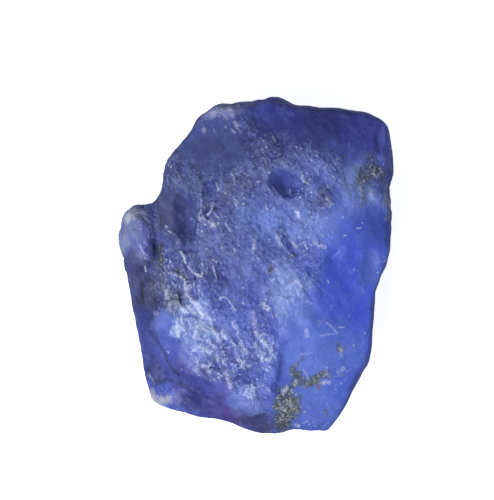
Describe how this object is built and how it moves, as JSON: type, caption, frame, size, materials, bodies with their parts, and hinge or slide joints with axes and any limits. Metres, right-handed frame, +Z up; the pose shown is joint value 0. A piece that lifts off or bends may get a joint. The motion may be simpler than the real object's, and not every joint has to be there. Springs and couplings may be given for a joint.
{
  "type": "rough sapphire",
  "caption": "Flat, irregular piece of rough blue corundum with an etched broad face, glassy breaks and a small knob on one edge.",
  "frame": {"origin": "middle of the stone's box in X and Y, on the surface that its flattest break rests on", "axes": "+X across the width, away from the knob; +Y along the length, towards the dark end; +Z up through the thickness, out of the broad etched face"},
  "size_m": [0.0306, 0.0374, 0.0136],
  "materials": {
    "sapphire": "etched and glassy natural surface, cloudy blue"
  },
  "bodies": {
    "root": {"rough_sapphire": "sapphire"}
  },
  "joints": []
}
